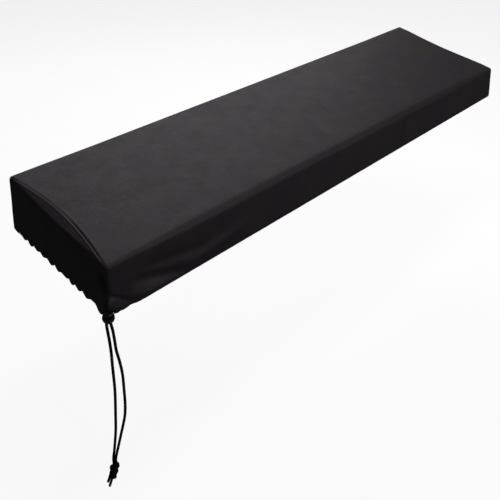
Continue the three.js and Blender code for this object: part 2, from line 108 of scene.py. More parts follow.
# the bowed seams over the ends, and the shoulders that fall away outside them
SEAM_BOW = 19.5
SEAM_BOW_POWER = 0.9
LEAST_INSET = 0.01
SHOULDER_DROP = 9.0
SHOULDER_POWER = 1.1

# the sewn edges dip into a groove with a ridge beside it, and overlap by a little
SEAM_OVERLAP = 0.1
SEAM_DIP = 1.6
SEAM_DIP_WIDTH = 1.7
SEAM_RIDGE = 0.85
SEAM_RIDGE_AT = 3.4
SEAM_RIDGE_WIDTH = 1.4
CORNER_SEAM_SHARE = 0.15
TOP_SEAM_STRENGTH = {"least": 0.35, "most_at": 75.0, "spread": 60.0, "corner": 25.0}

# the mouth that lets the strands out: how far each edge draws back from the corner seam,
# and the shares of the lip's depth where it starts and is full
MOUTH_RETREAT = {"main": 6.0, "end": 13.5}
MOUTH_FROM = 0.72
MOUTH_FULL = 0.86

# the drawstring's channel and the cut edge in the hem, by the share of the lip's depth
CHANNEL = {"middle": 0.86, "width": 0.1, "bulge": 2.2}
HEM_EDGE = {"from": 0.93, "bulge": 0.4}

# gathers of the drawn-in hem, which fade out towards the corners; END_COLUMNS is the number
# of half gathers across an end
END_COLUMNS = 26
END_GATHER = {"out": -0.8, "rise": 4.8, "wall_fade": 12.0, "lip": 3.0, "corner": 20.0}
END_NOTCH = 0.4
LONG_GATHER_LIP = 3.0
FINE_GATHER = {"pitch": 23.0, "height": 1.3}

# their unevenness: sines of (height, length, start) along the hem, on a mean strength and
# on the phase
END_STRENGTH = 0.7
END_STRENGTH_WAVES = [(0.35, 14.0, 1.0), (0.3, 8.5, 0.0)]
END_PHASE_WAVES = [(0.6, 19.0, 0.0), (0.4, 31.0, 2.0)]
LONG_STRENGTH = 0.75
LONG_STRENGTH_WAVES = [(0.25, 37.0, 0.0)]

# columns of the long gathers: length of each zone and half a gather in it
COLUMN_ZONES = [(60, 10), (180, 15), (1038, 45.1), (60, 15)]

# soft folds drawn towards the tie, as lines on a wall: start and end, each as the distance
# from the front left corner and the height above the foot, outward push, and width
FOLDS = [
    ("front", (61, 50), (176, 9), -6, 9),
    ("front", (82, 68), (220, 43), -4, 11),
    ("front", (52, 24), (125, 4), 4, 10),
    ("front", (187, 25), (320, 42), 4, 13),
    ("front", (4, 27), (46, 10), -5, 5),
    ("left", (14, 86), (5, 34), -4, 6),
]
# a fold fades as half a sine between these places on it, raised to FOLD_TAPER
FOLD_ENDS = (0.12, 0.97)
FOLD_TAPER = 0.7
# where on a wall the folds come in: above the foot, below the top and in from the corner;
# what lies within WALL_DEPTH of a wall's plane is on that wall
FOLD_FOOT = (1, 8)
FOLD_TOP = (95, 108)
FOLD_CORNER = {"front": (0, 12), "left": (2, 10)}
WALL_DEPTH = 3.0

# stitching: threads along the end seams, down the corners and round the hem's channel
STITCH_PITCH = 4.2
STITCH_LENGTH = 2.9
STITCH_RADIUS = 0.34
STITCH_SIDES = 6
STITCH_RINGS = 5
STITCH_LIFT = 0.05
STITCH_FROM_SEAM = 3.4
HEM_STITCH_SHARE = 0.68

# ---- drawstring, lock, knot
CORD_DIAMETER = 5.4
CORD_SIDES = 16
CORD_STEP = 2.0
CORD_TIP_SHARE = 0.25
CORD_FIRST_SIDE = (0.3, 0.9, 0.2)
SPAN_POINTS = 24
BRAID_PITCH = 3.4
BRAID_STRANDS = 4

# places at the tie: out from the corner, side to the right as seen from outside, z above
# the foot level
LOCK_AT = (15.0, -1.6, 1.1)
LOCK_TURN = math.radians(12)
LOCK_RADIUS = 11.0
HOLE_OFFSET = 3.35
HOLE_RADIUS = 3.1
HOLE_REACH = 20.0
LOCK_RIM_Z = 3.2
BORE_RADIUS = 7.4
BORE_FLOOR_Z = -7.2
PISTON_RADIUS = 7.1
PISTON_FLOOR_Z = -3.8
SLOT_HALF_WIDTH = 6.35
SLOT_Z = (-3.0, 6.0)
CAP = {
    "underside": 6.8, "low_radius": 8.7, "low_side": 0.9, "high_radius": 7.8,
    "rim": 10.6, "rim_drop": 0.6, "rim_inset": 0.5, "dish": 1.4, "dish_inset": 1.1,
}
DISH_SHARES = (0.8, 0.6, 0.4, 0.2)
LOCK_BEVEL = 0.25
LOCK_BEVEL_ANGLE = math.radians(50)
LOCK_SHARP_ANGLE = math.radians(40)

# each strand: out of the hem, through the lock, then hanging to the knot
STRANDS = {
    "cord_left": [
        (-6, -5.4, -3), (-1, -5.9, -0.8), (1.6, -6.8, 0.6), (4.5, -7.26, 1.1),
        (9.8, -6.13, 1.1), (20.6, -3.84, 1.1), (24.4, -3.03, 1.1), (27.4, -2.4, 0.6),
        (30.3, -1.9, -2.4), (31.4, -1.4, -10), (30.6, -0.7, -34), (30.6, -0.3, -64),
        (30.6, -1.3, -100), (30.6, -2.9, -163), (30.6, -8.0, -231), (30.6, -11.7, -274),
        (30.6, -15.6, -304), (30.6, -20.4, -337), (30.6, -24.2, -360),
        (30.6, -25.0, -376.6),
    ],
    "cord_right": [
        (-6, 1.0, -3), (-1, 0.4, -0.8), (0.8, -0.3, 0.5), (3.2, -0.68, 1.1),
        (8.4, 0.43, 1.1), (19.2, 2.72, 1.1), (23.1, 3.55, 1.1), (26.4, 4.4, 0.6),
        (29.9, 5.9, -2.4), (31.4, 7.5, -10), (30.7, 8.4, -34), (30.6, 9.1, -60),
        (30.6, 12.2, -86), (30.6, 14.6, -118), (30.6, 14.0, -159), (30.6, 12.6, -200),
        (30.6, 9.6, -230), (30.6, 4.2, -257), (30.6, -3.2, -289), (31.0, -9.6, -317),
        (31.9, -15.0, -340), (32.8, -18.9, -360), (33.0, -19.7, -378.6),
    ],
}
STRAND_NODES = {"cord_left": "drawstring_left", "cord_right": "drawstring_right"}

# the overhand knot about its middle. Each strand runs on through it, as side and up, and
# comes out as a cut end. The knot's turns go round both: for each its side, up, radius, lean,
# rise, number of turns and first angle in degrees
KNOT_AT = (30.6, -26.0, -400.0)
THROUGH_KNOT = {
    "cord_left": [(-0.6, 12), (-5.0, 0), (-9.5, -14), (-12.8, -26), (-16.4, -37.5)],
    "cord_right": [(4.4, 12), (0.4, 0), (-4.6, -14), (-7.8, -28), (-14.4, -51.5)],
}
KNOT_TURNS = [
    (3.4, 13.5, 5.6, 1.6, 4.0, 1.1, 30),
    (-0.3, 4, 5.6, -3.4, 4.5, 1.3, 150),
    (-2.3, -6, 5.8, 3.4, 4.5, 1.2, 320),
    (-4.0, -16, 4.2, -2.0, 3.0, 1.1, 190),
]
KNOT_DEPTH_SHARE = 0.82
KNOT_TUCK = {"share": 0.6, "width": 0.08}
KNOT_TURN_POINTS = 24
KNOT_STEP = 1.2

# ---- mesh fineness
# columns of the main panel: each zone's start and step
MAIN_COLUMNS = [(0, 3.0), (12, 4.0), (420, 6.5), (1290, 4.0), (1338, 3.0)]
MAIN_ROWS = {"front_wall": 22, "front_roll": 13, "top": 26, "back_roll": 9, "back_wall": 18}
END_ROWS = {"wall": 24, "roll": 28}
LIP_ROWS = 14
FOLD_SHARES = (0.66, 0.33, 0.0)
END_STEP = 2.2
ROUND_STEPS = 64
HOLE_STEPS = 32
BALL_STEPS = 26
CLOTH_SHARP_ANGLE = math.radians(60)

# ---- camera and lights
CAMERA_AT = (-1.0804, -0.9064, 0.6619)
CAMERA_AZIMUTH = math.radians(-44.948)
CAMERA_ELEVATION = math.radians(30.788)
CAMERA_ROLL = math.radians(0.896)
CAMERA_LENS = 45.63
CAMERA_SENSOR = 36
CAMERA_CLIP_END = 50
CAMERA_SHIFT = (0.00508, -0.16016)
FLOOR_BELOW = 0.05
FLOOR_REACH = 12.0
FLOOR_GLOW = 0.85
WORLD_STRENGTH = 0.035
LIGHTS = {
    "key": {"place": (0.95, 1.6, 1.4), "target": (-0.1, 0, 0), "size": (2.4, 1.2), "power": 17},
    "top": {"place": (0.0, -0.25, 1.5), "target": (0.0, -0.2, 0), "size": (1.4, 0.5), "power": 5},
    "fill": {
        "place": (0.55, -2.1, 1.0),
        "target": (0.2, -0.15, -0.05),
        "size": (1.6, 1.2),
        "power": 10.5,
    },
}


# ---- small helpers
def clip(x, low, high):
    return np.minimum(np.maximum(x, low), high)


def lerp(a, b, t):
    return a + (b - a) * t


def smooth(x, low, high):
    """A soft step from 0 at low to 1 at high."""
    t = clip((x - low) / (high - low), 0, 1)
    return t * t * (3 - 2 * t)


def bell(x, width):
    return np.exp(-((x / width) ** 2))


def across_corners(table, u, v):
    front = lerp(table["front_left"], table["front_right"], u)
    back = lerp(table["back_left"], table["back_right"], u)
    return lerp(front, back, v)


ORIGIN = np.array([LENGTH / 2, DEPTH / 2, across_corners(TOP_HEIGHTS, 0.5, 0.5) + CROWN - CLOTH])
OUT = np.array([-1.0, -1.0, 0.0]) / math.sqrt(2)
SIDE = np.array([1.0, -1.0, 0.0]) / math.sqrt(2)


def at_tie(out, side, z):
    """A place beside the tie corner, in the part's frame."""
    return out * OUT + side * SIDE + np.array([0.0, 0.0, z]) - ORIGIN


def add_object(name, data):
    piece = bpy.data.objects.new(name, data)
    bpy.context.scene.collection.objects.link(piece)
    return piece


def add_from_bmesh(name, mesh):
    data = bpy.data.meshes.new(name)
    mesh.to_mesh(data)
    mesh.free()
    return add_object(name, data)


def smooth_faces(data, sharp_angle):
    data.polygons.foreach_set("use_smooth", [True] * len(data.polygons))
    data.set_sharp_from_angle(angle=sharp_angle)


def bake(piece):
    """Applies the piece's modifiers to its mesh."""
    graph = bpy.context.evaluated_depsgraph_get()
    mesh = bpy.data.meshes.new_from_object(piece.evaluated_get(graph))
    piece.modifiers.clear()
    piece.data = mesh


# ---- camera
def add_camera():
    back = Vector((
        math.sin(CAMERA_AZIMUTH) * math.cos(CAMERA_ELEVATION),
        -math.cos(CAMERA_AZIMUTH) * math.cos(CAMERA_ELEVATION),
        math.sin(CAMERA_ELEVATION),
    ))
    right = (-back).cross(Vector((0, 0, 1))).normalized()
    up = right.cross(-back)
    axes = Matrix((right, up, back)).transposed()
    turn = Matrix.Rotation(CAMERA_ROLL, 3, "Z")
    data = bpy.data.cameras.new("camera")
    data.lens = CAMERA_LENS
    data.sensor_width = CAMERA_SENSOR
    data.shift_x, data.shift_y = CAMERA_SHIFT
    data.clip_end = CAMERA_CLIP_END
    camera = add_object("camera", data)
    camera.matrix_world = Matrix.Translation(CAMERA_AT) @ (axes @ turn).to_4x4()
    bpy.context.scene.camera = camera


# ---- materials
def new_material(name):
    material = bpy.data.materials.new(name)
    material.use_nodes = True
    tree = material.node_tree
    return material, tree, tree.nodes["Principled BSDF"]


def add_node(tree, kind, **values):
    node = tree.nodes.new(kind)
    for name, value in values.items():
        setattr(node, name, value)
    return node


def set_inputs(node, inputs):
    """Gives a node's inputs their values, or links them to other nodes' outputs."""
    for name, value in inputs.items():
        if isinstance(value, bpy.types.NodeSocket):
            node.id_data.links.new(value, node.inputs[name])
        else:
            node.inputs[name].default_value = value


def noise(tree, place, scale, detail=2.0, roughness=0.5):
    node = add_node(tree, "ShaderNodeTexNoise")
    set_inputs(node, {"Vector": place, "Scale": scale, "Detail": detail, "Roughness": roughness})
    return node.outputs["Fac"]


def wave(tree, place, scale, direction, distortion=0.0):
    node = add_node(tree, "ShaderNodeTexWave", bands_direction=direction)
    set_inputs(node, {"Vector": place, "Scale": scale, "Distortion": distortion})
    return node.outputs["Fac"]


def map_range(tree, value, source, target):
    """Maps a value from its source range to a target range."""
    node = add_node(tree, "ShaderNodeMapRange")
    set_inputs(node, {"Value": value, "From Min": source[0], "From Max": source[1]})
    set_inputs(node, {"To Min": target[0], "To Max": target[1]})
    return node.outputs["Result"]


def math_node(tree, operation, first, second):
    node = add_node(tree, "ShaderNodeMath", operation=operation)
    set_inputs(node, {0: first, 1: second})
    return node.outputs["Value"]


def colour_ramp(tree, factor, stops):
    node = add_node(tree, "ShaderNodeValToRGB")
    elements = node.color_ramp.elements
    for element, (place, colour) in zip(elements, (stops[0], stops[-1])):
        element.position = place
        element.color = (*colour, 1)
    for place, colour in stops[1:-1]:
        elements.new(place).color = (*colour, 1)
    set_inputs(node, {"Fac": factor})
    return node.outputs["Color"]


def bump(tree, height, distance, strength, under=None):
    node = add_node(tree, "ShaderNodeBump")
    set_inputs(node, {"Height": height, "Distance": distance, "Strength": strength})
    if under is not None:
        set_inputs(node, {"Normal": under})
    return node.outputs["Normal"]


def object_place(tree):
    return add_node(tree, "ShaderNodeTexCoord").outputs["Object"]


def mapped_place(tree, name):
    return add_node(tree, "ShaderNodeUVMap", uv_map=name).outputs["UV"]


def knit_cloth():
    """Black stretch knit: fine wales and courses, with a tint, slack and nap that vary."""
    material, tree, shader = new_material("knit_cloth")
    uv, place = mapped_place(tree, "cloth"), object_place(tree)
    drift = noise(tree, place, scale=11.0, detail=5.0, roughness=0.6)
    colour = colour_ramp(tree, drift, [
        (0.36, (0.043, 0.037, 0.033)),
        (0.5, (0.036, 0.033, 0.034)),
        (0.64, (0.036, 0.029, 0.039)),
    ])
    wales = wave(tree, uv, scale=480.0, direction="X")
    courses = wave(tree, uv, scale=380.0, direction="Y", distortion=0.6)
    knit = math_node(tree, "MULTIPLY", wales, courses)
    grain = bump(tree, knit, distance=0.0002, strength=0.35)
    slack = noise(tree, place, scale=34.0, detail=4.0, roughness=0.6)
    nap = noise(tree, place, scale=24.0, detail=6.0, roughness=0.7)
    set_inputs(shader, {
        "Base Color": colour,
        "Normal": bump(tree, slack, distance=0.0016, strength=0.5, under=grain),
        "Roughness": map_range(tree, nap, (0.35, 0.65), (0.48, 0.57)),
        "Specular IOR Level": 0.4,
        "Specular Tint": (1.0, 0.82, 0.99, 1.0),
        "Sheen Weight": 0.05,
        "Sheen Roughness": 0.45,
        "Sheen Tint": (0.9, 0.86, 0.92, 1),
    })
    return material


def hem_thread():
    """Black sewing thread with a fine twist, its grooves painted darker as painted shade."""
    material, tree, shader = new_material("hem_thread")
    twist = wave(tree, object_place(tree), scale=900.0, direction="DIAGONAL")
    # painted shade: the colour follows the twist's relief, darker in its grooves and lighter on its
    # ridges
    tones = [(0.2, (0.016, 0.015, 0.017)), (0.8, (0.034, 0.032, 0.036))]
    set_inputs(shader, {
        "Base Color": colour_ramp(tree, twist, tones),
        "Normal": bump(tree, twist, distance=0.0001, strength=0.4),
        "Roughness": 0.6,
    })
    return material


def braided_cord():
    """Round braid: two crossing sets of strands, from the cord's own map; the pits between strands
    are painted darker, as painted shade.
    """
    material, tree, shader = new_material("braided_cord")
    split = add_node(tree, "ShaderNodeSeparateXYZ")
    set_inputs(split, {"Vector": mapped_place(tree, "cord")})
    along = math_node(tree, "MULTIPLY", split.outputs["Y"], 2 * math.pi / (BRAID_PITCH * MM))
    around = math_node(tree, "MULTIPLY", split.outputs["X"], 2 * math.pi * BRAID_STRANDS)
    right_hand = math_node(tree, "SINE", math_node(tree, "ADD", along, around), 0)
    left_hand = math_node(tree, "SINE", math_node(tree, "SUBTRACT", along, around), 0)
    braid = math_node(tree, "MAXIMUM", right_hand, left_hand)
    # painted shade: the colour follows the braid's relief, darker in the pits between strands and
    # lighter on their crests
    tones = [(0.1, (0.006, 0.006, 0.006)), (0.9, (0.017, 0.016, 0.018))]
    set_inputs(shader, {
        "Base Color": colour_ramp(tree, braid, tones),
        "Normal": bump(tree, braid, distance=0.0004, strength=0.6),
        "Roughness": 0.62,
        "Specular IOR Level": 0.35,
    })
    return material


def moulded_plastic():
    """Black moulded plastic with a fine spark-eroded grain and light wear."""
    material, tree, shader = new_material("moulded_plastic")
    place = object_place(tree)
    grain = noise(tree, place, scale=2600.0)
    wear = noise(tree, place, scale=130.0, detail=4.0, roughness=0.7)
    tones = [(0.4, (0.012, 0.012, 0.013)), (0.75, (0.021, 0.021, 0.022))]
    set_inputs(shader, {
        "Base Color": colour_ramp(tree, wear, tones),
        "Normal": bump(tree, grain, distance=0.00006, strength=0.25),
        "Roughness": map_range(tree, wear, (0.0, 1.0), (0.16, 0.3)),
        "Specular IOR Level": 0.85,
    })
    return material


def floor_panel():
    """A pale panel, mostly lit from within, so that shadows on it stay faint."""
    material, tree, shader = new_material("floor_panel")
    tone = noise(tree, object_place(tree), scale=3.0)
    set_inputs(shader, {
        "Base Color": colour_ramp(tree, tone, [(0.3, (0.4, 0.4, 0.4)), (0.7, (0.42, 0.42, 0.42))]),
        "Roughness": 0.9,
        "Specular IOR Level": 0.0,
        "Emission Color": (1, 1, 1, 1),
        "Emission Strength": FLOOR_GLOW,
    })
    return material


# ---- shape of the cover
def end_roll(y):
    return lerp(CORNER_RADIUS, END_ROLL, np.sin(np.pi * clip(y, 0, DEPTH) / DEPTH))


def long_roll(x, y):
    from_end = np.minimum(x, LENGTH - x)
    full = np.where(y < DEPTH / 2, FRONT_ROLL, BACK_ROLL)
    return lerp(CORNER_RADIUS, full, smooth(from_end, 0, ROLL_REACH))


def seam_inset(y):
    return SEAM_BOW * np.sin(np.pi * clip(y, 0, DEPTH) / DEPTH) ** SEAM_BOW_POWER


def round_over(x, y, z):
    """Rounds points of the sharp box over its soft edges: places and outward directions."""
    from_end = np.minimum(x, LENGTH - x)
    near_end = 1 - smooth(from_end, END_ROLL, 3 * END_ROLL)
    low = smooth(z, CORNER_BLEND[0] * NOMINAL_HEIGHT, CORNER_BLEND[1] * NOMINAL_HEIGHT)
    at_tie_corner = 1 - smooth(np.maximum(x, y), TIE_CORNER["near"], TIE_CORNER["far"])
    foot_radius = lerp(FOLD_RADIUS, TIE_CORNER["radius"], at_tie_corner)
    rx = lerp(foot_radius, end_roll(y), low)
    ry = lerp(foot_radius, long_roll(x, y), low)
    top_roll = np.maximum(end_roll(y) * near_end, long_roll(x, y))
    rz = np.where(z > NOMINAL_HEIGHT / 2, top_roll, FOLD_RADIUS)
    qx = clip(x, rx, LENGTH - rx)
    qy = clip(y, ry, DEPTH - ry)
    qz = clip(z, FOLD_RADIUS, NOMINAL_HEIGHT - rz)
    normal = np.stack([(x - qx) / rx, (y - qy) / ry, (z - qz) / rz], -1)
    normal /= np.linalg.norm(normal, axis=-1, keepdims=True)
    nx, ny, nz = normal[..., 0], normal[..., 1], normal[..., 2]
    return np.stack([qx + rx * nx, qy + ry * ny, qz + rz * nz], -1), normal


def column_places():
    places = [0.0]
    for length, step in COLUMN_ZONES:
        count = round(length / step)
        places += list(places[-1] + length * np.arange(1, count + 1) / count)
    return np.array(places)


COLUMNS = column_places()


def uneven(base, along, waves):
    """A base with sines of (height, length, start) added to it."""
    return sum((high * np.sin(along / length + start) for high, length, start in waves), base)


def long_wave(x):
    number = np.interp(x, COLUMNS, np.arange(len(COLUMNS)))
    return uneven(LONG_STRENGTH, x, LONG_STRENGTH_WAVES) * np.cos(np.pi * number)


def end_wave(y):
    """Rounded bumps with sharp notches between them."""
    strength = uneven(END_STRENGTH, y, END_STRENGTH_WAVES)
    phase = uneven(np.pi * END_COLUMNS * y / DEPTH, y, END_PHASE_WAVES)
    notched = 1 - 2 * np.abs(np.sin(phase / 2))
    return strength * lerp(np.cos(phase), notched, END_NOTCH)


def fold_push(wall, along, up):
    """How far the folds of a wall push it outwards."""
    push = np.zeros_like(along)
    for fold_wall, (a0, u0), (a1, u1), depth, width in FOLDS:
        if fold_wall != wall:
            continue
        a, u = a1 - a0, u1 - u0
        share = clip(((along - a0) * a + (up - u0) * u) / (a * a + u * u), 0, 1)
        away = np.hypot(along - a0 - share * a, up - u0 - share * u)
        fading = np.sin(np.pi * lerp(*FOLD_ENDS, share)) ** FOLD_TAPER
        push += depth * fading * bell(away, width)
    return push


def on_cover(x, y, z):
    """Points of the sharp box to their places and outward directions on the cover."""
    at, normal = round_over(x, y, z)
    x, y, height = np.moveaxis(at.copy(), -1, 0)
    u = clip(x / LENGTH, 0, 1)
    v = clip(y / DEPTH, 0, 1)
    up = height / NOMINAL_HEIGHT

    in_left = np.maximum(x, 0)
    in_right = np.maximum(LENGTH - x, 0)
    in_front = np.maximum(y, 0)
    in_back = np.maximum(DEPTH - y, 0)
    from_end = np.minimum(in_left, in_right)
    from_long = np.minimum(in_front, in_back)
    inward = np.minimum(from_end, from_long)
    on_end = from_end < from_long
    out_x = np.where(on_end, np.sign(u - 0.5), 0)

    # height, slope and crown
    foot = across_corners(FOOT_HEIGHTS, u, v)
    top = across_corners(TOP_HEIGHTS, u, v)
    at[..., 2] = lerp(foot, top, up) + CROWN * 4 * v * (1 - v) * smooth(up, *TOP_BLEND)
    inset = np.maximum(seam_inset(in_front), LEAST_INSET)
    past_seam = clip(1 - from_end / inset, 0, 1) ** SHOULDER_POWER
    at[..., 2] -= SHOULDER_DROP * (inset / SEAM_BOW) * past_seam * smooth(up, *TOP_BLEND)

    # walls that stand out a little at the foot
    spread = 1 - clip(up, 0, 1)
    across, along = 2 * u - 1, 2 * v - 1
    at[..., 0] += spread * across * np.where(across < 0, FLARE["left"], FLARE["right"])
    at[..., 1] += spread * along * np.where(along < 0, FLARE["front"], FLARE["back"])

    # gathers
    at_lip = 1 - smooth(height, *LIP_BLEND)
    lip_share = clip(inward / LIP, 0, 1) * at_lip
    calm_at_tie = np.where(in_left < LENGTH / 2, smooth(in_front, TIE_CALM / 2, TIE_CALM), 1)
    from_corner = smooth(from_long, 0, END_GATHER["corner"])
    wave_end = end_wave(at[..., 1]) * from_corner * calm_at_tie
    fade = np.exp(-height / END_GATHER["wall_fade"]) * (1 - lip_share)
    at[..., 0] += out_x * END_GATHER["out"] * wave_end * fade
    rise_end = END_GATHER["rise"] * wave_end * fade + END_GATHER["lip"] * wave_end * lip_share
    fine = FINE_GATHER["height"] * np.cos(2 * np.pi * at[..., 0] / FINE_GATHER["pitch"])
    rise_long = (LONG_GATHER_LIP * long_wave(at[..., 0]) + fine) * lip_share
    at[..., 2] += np.where(on_end, rise_end, rise_long)

    # folds drawn towards the tie
    on_front = in_front < WALL_DEPTH
    on_left = ~on_front & (in_left < WALL_DEPTH)
    wall_share = smooth(height, *FOLD_FOOT) * (1 - smooth(height, *FOLD_TOP))
    front_push = fold_push("front", in_left, height) * wall_share
    left_push = fold_push("left", in_front, height) * wall_share
    at[..., 1] -= np.where(on_front, front_push * smooth(in_left, *FOLD_CORNER["front"]), 0)
    at[..., 0] -= np.where(on_left, left_push * smooth(in_front, *FOLD_CORNER["left"]), 0)

    # the corner drawn down to the tie: the wall lifts, the lip turns down and rolls out
    in_tie = np.minimum(in_left, in_front)
    past = np.maximum(in_left, in_front) - in_tie
    near_tie = 1 - smooth(in_tie, LIP, 2 * LIP)
    low = near_tie * (1 - smooth(height, *TIE_BLEND))
    lip_here = low * clip(in_tie, 0, LIP)
    turn = bell(past, TIE_REACH)
    droop = LIP_DROOP_AT_TIE * turn * near_tie
    lift_share = clip(1 - height / LIFT_HEIGHT, 0, 1) ** LIFT_POWER
    at[..., 2] += TIE_LIFT * bell(past, TIE_LIFT_REACH) * lift_share * near_tie
    drawn_out = lip_here * (1 - np.cos(droop))
    across_lip = np.sin(np.pi * clip(lip_here / LIP_AT_TIE, 0, 1))
    across_band = np.sin(np.pi * clip(lip_here / (TIE_BAND["share"] * LIP_AT_TIE), 0, 1))
    roll = TIE_ROLL * turn * (1 - bell(past, TIE_ROLL_GAP)) * across_lip
    roll += TIE_BAND["out"] * bell(past, TIE_BAND["width"]) * across_band
    sideways = bell(past, TIE_REACH / 2)
    share_x = np.where(in_left < in_front, 1, sideways)
    share_y = np.where(in_front < in_left, 1, sideways)
    at[..., 0] -= drawn_out + roll * share_x
    at[..., 1] -= drawn_out + roll * share_y
    at[..., 2] -= lip_here * np.sin(droop)
    sag = TIE_SAG["drop"] * bell(past - TIE_SAG["from"], TIE_SAG["width"])
    at[..., 2] -= np.where(on_end, sag * clip(lip_here / TIE_SAG["full"], 0, 1), 0)
    at[..., 2] -= clip(inward, 0, LIP) * at_lip * math.sin(LIP_DROOP)

    # turn the outward direction with the lip
    away = np.stack([-share_x, -share_y, np.zeros_like(share_x)], -1)
    away /= np.linalg.norm(away, axis=-1, keepdims=True)
    underside = np.maximum(-normal[..., 2], 0)
    normal[..., 2] -= underside * (np.cos(droop) - 1)
    normal += away * (underside * np.sin(droop))[..., None]
    normal /= np.linalg.norm(normal, axis=-1, keepdims=True)
    return at - ORIGIN, normal


# ---- cloth meshes
def hem_bulge(share):
    """How far the drawstring's channel bulges the cloth, by the share of the lip's depth."""
    channel = CHANNEL["bulge"] * bell(share - CHANNEL["middle"], CHANNEL["width"])
    return channel + HEM_EDGE["bulge"] * smooth(share, HEM_EDGE["from"], 1)


def top_seam_strength(y):
    """How strongly the seam over an end shows: most near the front, less to the back."""
    least, corner = TOP_SEAM_STRENGTH["least"], TOP_SEAM_STRENGTH["corner"]
    most = bell(y - TOP_SEAM_STRENGTH["most_at"], TOP_SEAM_STRENGTH["spread"])
    off_corners = smooth(y, 0, corner) * smooth(DEPTH - y, 0, corner)
    return (least + (1 - least) * most) * off_corners


def main_seam_strength(part, y):
    if part in ("top", "front_roll", "back_roll"):
        return top_seam_strength(y)
    return np.full_like(y, CORNER_SEAM_SHARE)


def seam_relief(away, strength):
    """The sewn edge's dip and the turned ridge beside it, by the distance from the seam."""
    dip = SEAM_DIP * bell(away, SEAM_DIP_WIDTH)
    ridge = SEAM_RIDGE * bell(away - SEAM_RIDGE_AT, SEAM_RIDGE_WIDTH)
    return (ridge - dip) * strength


def grid_faces(high, wide, first, flip):
    """Quads over a grid of points whose numbers start at first."""
    faces = []
    for i in range(high - 1):
        for j in range(wide - 1):
            a = first + i * wide + j
            quad = (a, a + 1, a + 1 + wide, a + wide)
            faces.append(quad[::-1] if flip else quad)
    return faces


def cloth_mesh(name, at, normal, bulge, uv, material):
    """A closed cloth, CLOTH thick, from its outer face; rows run across, then along."""
    high, wide = at.shape[:2]
    outer = at + normal * bulge[..., None]
    inner = at - normal * (CLOTH + np.maximum(bulge, 0))[..., None]
    points = np.concatenate([outer.reshape(-1, 3), inner.reshape(-1, 3)]) * MM
    count = high * wide
    faces = grid_faces(high, wide, 0, False) + grid_faces(high, wide, count, True)
    ring = list(range(wide))
    ring += [i * wide + wide - 1 for i in range(1, high)]
    ring += [(high - 1) * wide + j for j in range(wide - 2, -1, -1)]
    ring += [i * wide for i in range(high - 2, 0, -1)]
    for a, b in zip(ring, ring[1:] + ring[:1]):
        faces.append((b, a, a + count, b + count))
    mesh = bpy.data.meshes.new(name)
    mesh.from_pydata(points.tolist(), [], faces)
    layer = mesh.uv_layers.new(name="cloth")
    both = np.concatenate([uv.reshape(-1, 2), uv.reshape(-1, 2)]) * MM
    corners = np.zeros(len(mesh.loops), np.int32)
    mesh.loops.foreach_get("vertex_index", corners)
    layer.data.foreach_set("uv", both[corners].ravel())
    smooth_faces(mesh, CLOTH_SHARP_ANGLE)
    mesh.materials.append(material)
    mesh.update()
    return add_object(name, mesh)


def lip_depth(past):
    """How deep the lip is turned under, by the distance past the tie corner."""
    return lerp(LIP, LIP_AT_TIE, bell(past, TIE_REACH))


def spaced(start, end, step):
    count = max(1, math.ceil(abs(end - start) / step))
    return list(np.linspace(start, end, count + 1))


def even_rows(part, start, end, count):
    return [(part, share) for share in np.linspace(start, end, count)]


def main_rows():
    """The profile's rows from the front hem to the back hem: (part, share)."""
    rows = even_rows("front_lip", 1, 0, LIP_ROWS)
    rows += [("front_fold", share) for share in FOLD_SHARES]
    rows += even_rows("front_wall", 0, 1, MAIN_ROWS["front_wall"])
    for part in ("front_roll", "top", "back_roll"):
        rows += even_rows(part, 0, 1, MAIN_ROWS[part])[1:]
    rows += even_rows("back_wall", 1, 0, MAIN_ROWS["back_wall"])[1:]
    rows += [("back_fold", share) for share in FOLD_SHARES[::-1]]
    rows += even_rows("back_lip", 0, 1, LIP_ROWS)
    return rows


def main_row_places(part, share, x):
    """Sharp-box y and z of one row of the main panel, at each x."""
    front, back = long_roll(x, 0), long_roll(x, DEPTH)
    none = np.zeros_like(x)
    if part == "front_lip":
        return lerp(FOLD_RADIUS, lip_depth(x), share), none
    if part == "front_fold":
        return FOLD_RADIUS * share + none, none
    if part == "front_wall":
        return none, lerp(FOLD_RADIUS, NOMINAL_HEIGHT - front, share)
    if part == "front_roll":
        path = share * 2 * front
        return np.maximum(path - front, 0), NOMINAL_HEIGHT - np.maximum(front - path, 0)
    if part == "top":
        return lerp(front, DEPTH - back, share), none + NOMINAL_HEIGHT
    if part == "back_roll":
        path = share * 2 * back
        return DEPTH - np.maximum(back - path, 0), NOMINAL_HEIGHT - np.maximum(path - back, 0)
    if part == "back_wall":
        return DEPTH + none, lerp(FOLD_RADIUS, NOMINAL_HEIGHT - back, share)
    if part == "back_fold":
        return DEPTH - FOLD_RADIUS * share + none, none
    return DEPTH - lerp(FOLD_RADIUS, LIP, share), none


def along_columns():
    places = []
    for (start, step), (end, _) in zip(MAIN_COLUMNS, MAIN_COLUMNS[1:]):
        places += spaced(start, end, step)[:-1]
    return np.array(places + [LENGTH])


def seam_of_main(part, share, y, left):
    """How far in from an end the main panel's sewn edge lies in one row."""
    if part.endswith("lip") or part.endswith("fold"):
        depth = np.minimum(y, DEPTH - y)
        opened = MOUTH_RETREAT["main"] * smooth(share, MOUTH_FROM, MOUTH_FULL)
        return depth + (opened if left and part == "front_lip" else 0)
    if part in ("front_wall", "back_wall"):
        return np.zeros_like(y)
    return seam_inset(y) * (y > 0) * (y < DEPTH)


def arc_length(at):
    """The length down each column of a grid of points, from its first row."""
    steps = np.linalg.norm(np.diff(at, axis=0), axis=-1)
    return np.concatenate([np.zeros((1, at.shape[1])), np.cumsum(steps, 0)])


